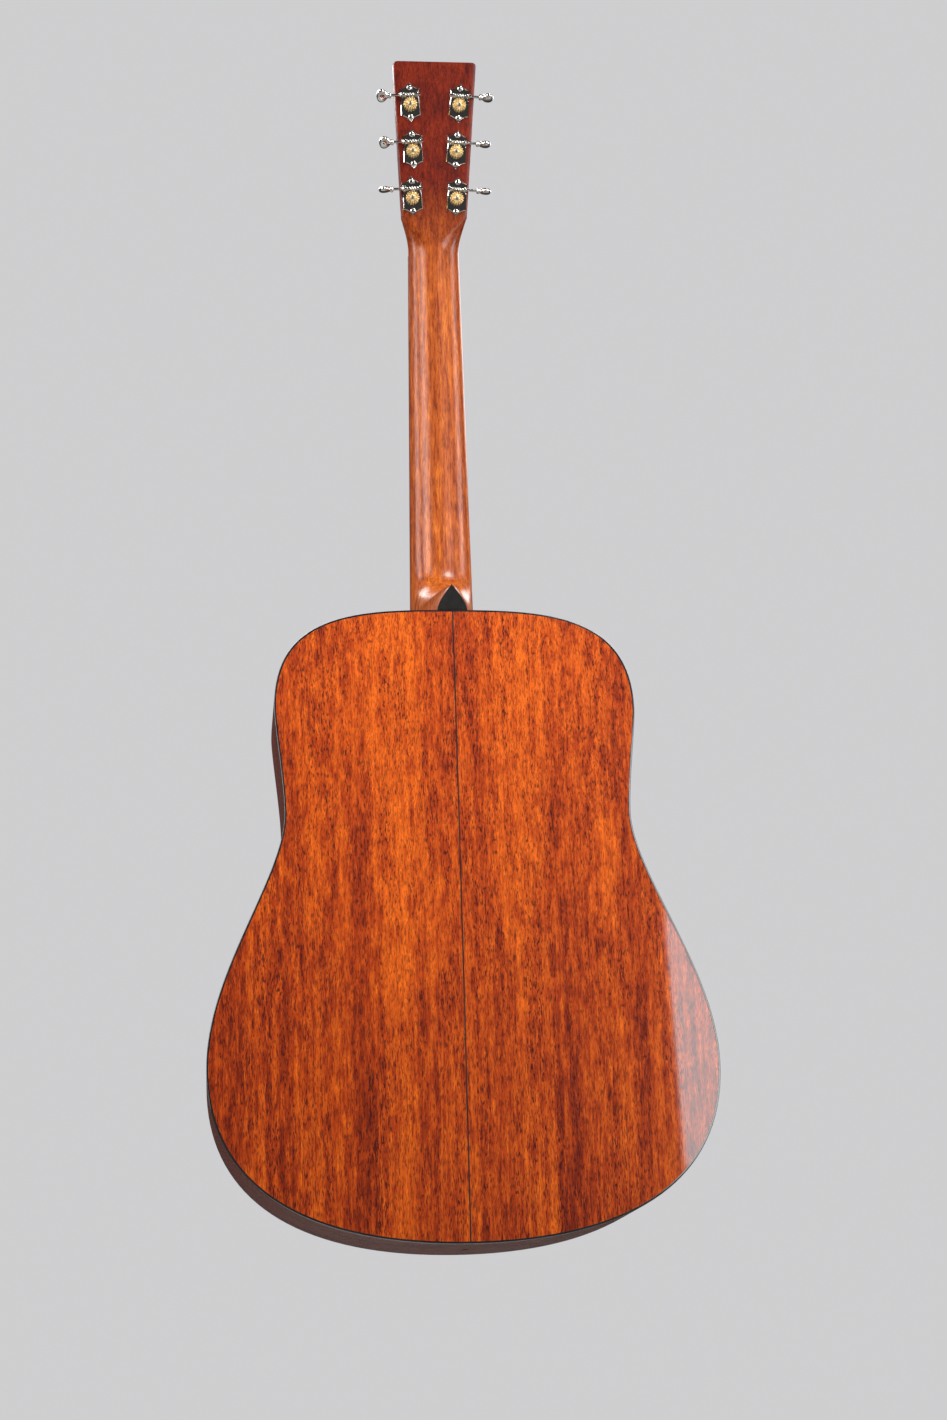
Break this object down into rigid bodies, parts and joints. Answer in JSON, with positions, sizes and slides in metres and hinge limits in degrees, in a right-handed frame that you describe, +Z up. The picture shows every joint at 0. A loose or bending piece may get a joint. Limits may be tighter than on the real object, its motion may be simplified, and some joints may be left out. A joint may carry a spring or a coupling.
{
  "type": "acoustic guitar",
  "caption": "Flat-top steel-string acoustic guitar: hollow wooden body with a round sound hole, fretted neck, pin bridge and headstock with open-gear tuning machines.",
  "frame": {"origin": "tail of the body on its centre line, in the plane of the sound board's outer face; the stand or the lap holds the guitar here", "axes": "+Z up the neck towards the headstock, +Y out of the back, +X towards the treble strings"},
  "size_m": [0.3972, 0.1357, 1.0292],
  "materials": {
    "back_wood": "gloss lacquer over red-brown mahogany with open dark pores",
    "rim_wood": "gloss lacquer over red-brown mahogany",
    "top_wood": "satin lacquer over red-brown mahogany",
    "neck_wood": "satin lacquer over dark red-brown mahogany",
    "neck_block_wood": "bare sanded mahogany",
    "spruce": "bare sanded softwood",
    "headplate_wood": "satin dark veneer",
    "fingerboard_wood": "oiled dark wood with metal frets",
    "bridge_wood": "oiled dark wood",
    "bridge_plate_wood": "bare sanded hardwood",
    "binding_black": "gloss black",
    "heel_cap_black": "gloss black",
    "bone": "polished off-white bone",
    "pin_black": "gloss black",
    "string_wound": "bronze-wound steel",
    "string_plain": "bright plain steel",
    "plate_nickel": "polished nickel plate",
    "knob_nickel": "polished nickel plate",
    "gear_brass": "machined brass gear on a nickel post",
    "rod_steel": "plain steel"
  },
  "bodies": {
    "root": {"soundboard": "top_wood", "back": "back_wood", "rim_bass": "rim_wood", "lining_top_bass": "spruce", "lining_back_bass": "spruce", "rim_treble": "rim_wood", "lining_top_treble": "spruce", "lining_back_treble": "spruce", "binding_top": "binding_black", "binding_back": "binding_black", "tail_block": "spruce", "neck_block": "neck_block_wood", "x_brace": "spruce", "tone_bar_1": "spruce", "tone_bar_2": "spruce", "upper_brace": "spruce", "bridge_plate": "bridge_plate_wood", "back_brace_1": "spruce", "back_brace_2": "spruce", "back_brace_3": "spruce", "back_brace_4": "spruce", "bridge": "bridge_wood", "saddle": "bone", "bridge_pin_1": "pin_black", "bridge_pin_2": "pin_black", "bridge_pin_3": "pin_black", "bridge_pin_4": "pin_black", "bridge_pin_5": "pin_black", "bridge_pin_6": "pin_black", "neck": "neck_wood", "truss_rod": "rod_steel", "heel_cap": "heel_cap_black", "fingerboard": "fingerboard_wood", "nut": "bone", "headplate": "headplate_wood", "tuner_plate_1": "plate_nickel", "tuner_plate_2": "plate_nickel", "tuner_plate_3": "plate_nickel", "tuner_plate_4": "plate_nickel", "tuner_plate_5": "plate_nickel", "tuner_plate_6": "plate_nickel", "string_1": "string_wound", "string_2": "string_wound", "string_3": "string_wound", "string_4": "string_wound", "string_5": "string_plain", "string_6": "string_plain"},
    "knob_1": {"tuner_knob_1": "knob_nickel"},
    "post_1": {"tuner_post_1": "gear_brass"},
    "knob_2": {"tuner_knob_2": "knob_nickel"},
    "post_2": {"tuner_post_2": "gear_brass"},
    "knob_3": {"tuner_knob_3": "knob_nickel"},
    "post_3": {"tuner_post_3": "gear_brass"},
    "knob_4": {"tuner_knob_4": "knob_nickel"},
    "post_4": {"tuner_post_4": "gear_brass"},
    "knob_5": {"tuner_knob_5": "knob_nickel"},
    "post_5": {"tuner_post_5": "gear_brass"},
    "knob_6": {"tuner_knob_6": "knob_nickel"},
    "post_6": {"tuner_post_6": "gear_brass"},
    "truss_nut": {"truss_rod_nut": "rod_steel"}
  },
  "joints": [
    {"name": "knob_1_turn", "type": "hinge", "parent": "root", "child": "knob_1", "pos_m": [-0.01997, 0.02926, 0.9158], "axis": [-0.9982, -0.0153, -0.0573], "continuous": true},
    {"name": "post_1_turn", "type": "hinge", "parent": "root", "child": "post_1", "pos_m": [-0.0195, 0.0109, 0.91256], "axis": [0, 0.9659, -0.2588], "continuous": true},
    {"name": "knob_2_turn", "type": "hinge", "parent": "root", "child": "knob_2", "pos_m": [-0.01957, 0.03995, 0.9557], "axis": [-0.9982, -0.0153, -0.0573], "continuous": true},
    {"name": "post_2_turn", "type": "hinge", "parent": "root", "child": "post_2", "pos_m": [-0.0191, 0.02159, 0.95245], "axis": [0, 0.9659, -0.2588], "continuous": true},
    {"name": "knob_3_turn", "type": "hinge", "parent": "root", "child": "knob_3", "pos_m": [-0.02197, 0.05054, 0.9952], "axis": [-0.9982, -0.0153, -0.0573], "continuous": true},
    {"name": "post_3_turn", "type": "hinge", "parent": "root", "child": "post_3", "pos_m": [-0.0215, 0.03217, 0.99196], "axis": [0, 0.9659, -0.2588], "continuous": true},
    {"name": "knob_4_turn", "type": "hinge", "parent": "root", "child": "knob_4", "pos_m": [0.01997, 0.02926, 0.9158], "axis": [0.9982, -0.0153, -0.0573], "continuous": true},
    {"name": "post_4_turn", "type": "hinge", "parent": "root", "child": "post_4", "pos_m": [0.0195, 0.0109, 0.91256], "axis": [0, 0.9659, -0.2588], "continuous": true},
    {"name": "knob_5_turn", "type": "hinge", "parent": "root", "child": "knob_5", "pos_m": [0.01957, 0.03995, 0.9557], "axis": [0.9982, -0.0153, -0.0573], "continuous": true},
    {"name": "post_5_turn", "type": "hinge", "parent": "root", "child": "post_5", "pos_m": [0.0191, 0.02159, 0.95245], "axis": [0, 0.9659, -0.2588], "continuous": true},
    {"name": "knob_6_turn", "type": "hinge", "parent": "root", "child": "knob_6", "pos_m": [0.02197, 0.05054, 0.9952], "axis": [0.9982, -0.0153, -0.0573], "continuous": true},
    {"name": "post_6_turn", "type": "hinge", "parent": "root", "child": "post_6", "pos_m": [0.0215, 0.03217, 0.99196], "axis": [0, 0.9659, -0.2588], "continuous": true},
    {"name": "truss_nut_turn", "type": "hinge", "parent": "root", "child": "truss_nut", "pos_m": [0, 0.0075, 0.446], "axis": [0, 0, 1], "range_deg": [-180, 180]}
  ],
  "couplings": [
    {"joint": "post_1_turn", "follows": "knob_1_turn", "ratio": 0.0625},
    {"joint": "post_2_turn", "follows": "knob_2_turn", "ratio": 0.0625},
    {"joint": "post_3_turn", "follows": "knob_3_turn", "ratio": 0.0625},
    {"joint": "post_4_turn", "follows": "knob_4_turn", "ratio": -0.0625},
    {"joint": "post_5_turn", "follows": "knob_5_turn", "ratio": -0.0625},
    {"joint": "post_6_turn", "follows": "knob_6_turn", "ratio": -0.0625}
  ]
}
